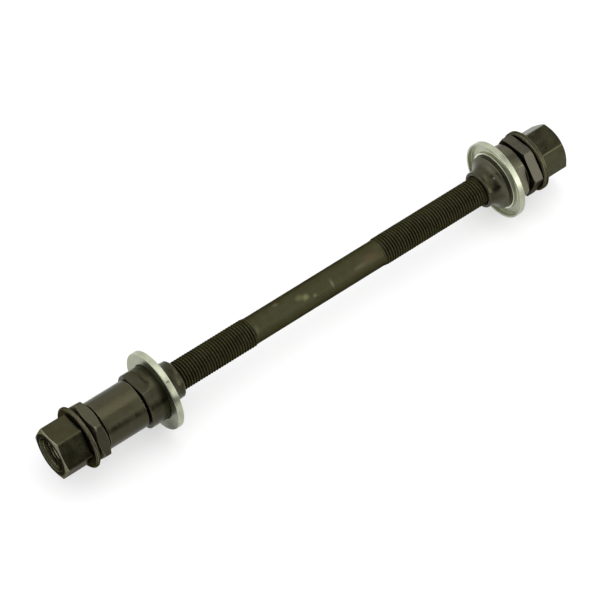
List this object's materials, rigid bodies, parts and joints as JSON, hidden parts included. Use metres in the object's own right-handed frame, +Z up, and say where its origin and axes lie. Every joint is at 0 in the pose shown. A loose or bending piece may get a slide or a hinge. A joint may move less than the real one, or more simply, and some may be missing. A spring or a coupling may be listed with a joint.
{
  "type": "bicycle hub axle",
  "caption": "Solid threaded rear hub axle of a bicycle with bearing cones, dust caps, a long spacer, locknuts, washers and axle nuts.",
  "frame": {"origin": "on the rod's axis, midway between the outer faces of the two axle nuts", "axes": "+Y along the rod from the long spacer's end to the short end, +Z up as the axle lies on its two dust caps"},
  "size_m": [0.0264, 0.195, 0.0264],
  "materials": {
    "rod_steel": "black oxide steel, rolled thread, slightly oily",
    "nut_steel": "black oxide steel with an olive brown cast, worn brighter on its edges",
    "washer_steel": "black oxide steel, turned face",
    "spacer_steel": "black oxide steel tube, drawn and faced",
    "cone_steel": "case hardened black oxide steel, ground race",
    "zinc_sheet": "pressed steel sheet, bright zinc plate with a faint yellow green cast"
  },
  "bodies": {
    "rod": {"axle_rod": "rod_steel"},
    "left_nut_washer": {"left_nut_washer": "washer_steel"},
    "left_axle_nut": {"left_axle_nut": "nut_steel"},
    "long_spacer": {"long_spacer": "spacer_steel"},
    "left_locknut": {"left_locknut": "nut_steel"},
    "left_dust_cap": {"left_dust_cap": "zinc_sheet"},
    "left_cone": {"left_cone": "cone_steel"},
    "right_dust_cap": {"right_dust_cap": "zinc_sheet"},
    "right_cone": {"right_cone": "cone_steel"},
    "right_lock_washer": {"right_lock_washer": "washer_steel"},
    "right_locknut": {"right_locknut": "nut_steel"},
    "right_nut_washer": {"right_nut_washer": "washer_steel"},
    "right_axle_nut": {"right_axle_nut": "nut_steel"}
  },
  "joints": [
    {"name": "left_nut_travel", "type": "slide", "parent": "rod", "child": "left_nut_washer", "axis": [0, 1, 0], "range_m": [-0.0022, 0]},
    {"name": "left_nut_turn", "type": "hinge", "parent": "left_nut_washer", "child": "left_axle_nut", "pos_m": [0, 0, 0], "axis": [0, 1, 0], "range_deg": [-810.7, 0]},
    {"name": "left_locknut_travel", "type": "slide", "parent": "rod", "child": "long_spacer", "axis": [0, 1, 0], "range_m": [-0.0005004, 0]},
    {"name": "left_locknut_turn", "type": "hinge", "parent": "long_spacer", "child": "left_locknut", "pos_m": [0, 0, 0], "axis": [0, 1, 0], "range_deg": [-184.3, 0]},
    {"name": "left_cone_travel", "type": "slide", "parent": "rod", "child": "left_dust_cap", "axis": [0, 1, 0], "range_m": [0, 0.02851]},
    {"name": "left_cone_turn", "type": "hinge", "parent": "left_dust_cap", "child": "left_cone", "pos_m": [0, 0, 0], "axis": [0, 1, 0], "range_deg": [0, 10502.4]},
    {"name": "right_cone_travel", "type": "slide", "parent": "rod", "child": "right_dust_cap", "axis": [0, 1, 0], "range_m": [-0.04012, 0]},
    {"name": "right_cone_turn", "type": "hinge", "parent": "right_dust_cap", "child": "right_cone", "pos_m": [0, 0, 0], "axis": [0, 1, 0], "range_deg": [-14777, 0]},
    {"name": "right_locknut_travel", "type": "slide", "parent": "rod", "child": "right_lock_washer", "axis": [0, 1, 0], "range_m": [0, 0.0004002]},
    {"name": "right_locknut_turn", "type": "hinge", "parent": "right_lock_washer", "child": "right_locknut", "pos_m": [0, 0, 0], "axis": [0, 1, 0], "range_deg": [0, 147.4]},
    {"name": "right_nut_travel", "type": "slide", "parent": "rod", "child": "right_nut_washer", "axis": [0, 1, 0], "range_m": [0, 0.0058]},
    {"name": "right_nut_turn", "type": "hinge", "parent": "right_nut_washer", "child": "right_axle_nut", "pos_m": [0, 0, 0], "axis": [0, 1, 0], "range_deg": [0, 2137.3]}
  ],
  "couplings": [
    {"joint": "left_nut_travel", "follows": "left_nut_turn", "m_per_rad": 0.00015548},
    {"joint": "left_locknut_travel", "follows": "left_locknut_turn", "m_per_rad": 0.00015548},
    {"joint": "left_cone_travel", "follows": "left_cone_turn", "m_per_rad": 0.00015548},
    {"joint": "right_cone_travel", "follows": "right_cone_turn", "m_per_rad": 0.00015548},
    {"joint": "right_locknut_travel", "follows": "right_locknut_turn", "m_per_rad": 0.00015548},
    {"joint": "right_nut_travel", "follows": "right_nut_turn", "m_per_rad": 0.00015548}
  ]
}
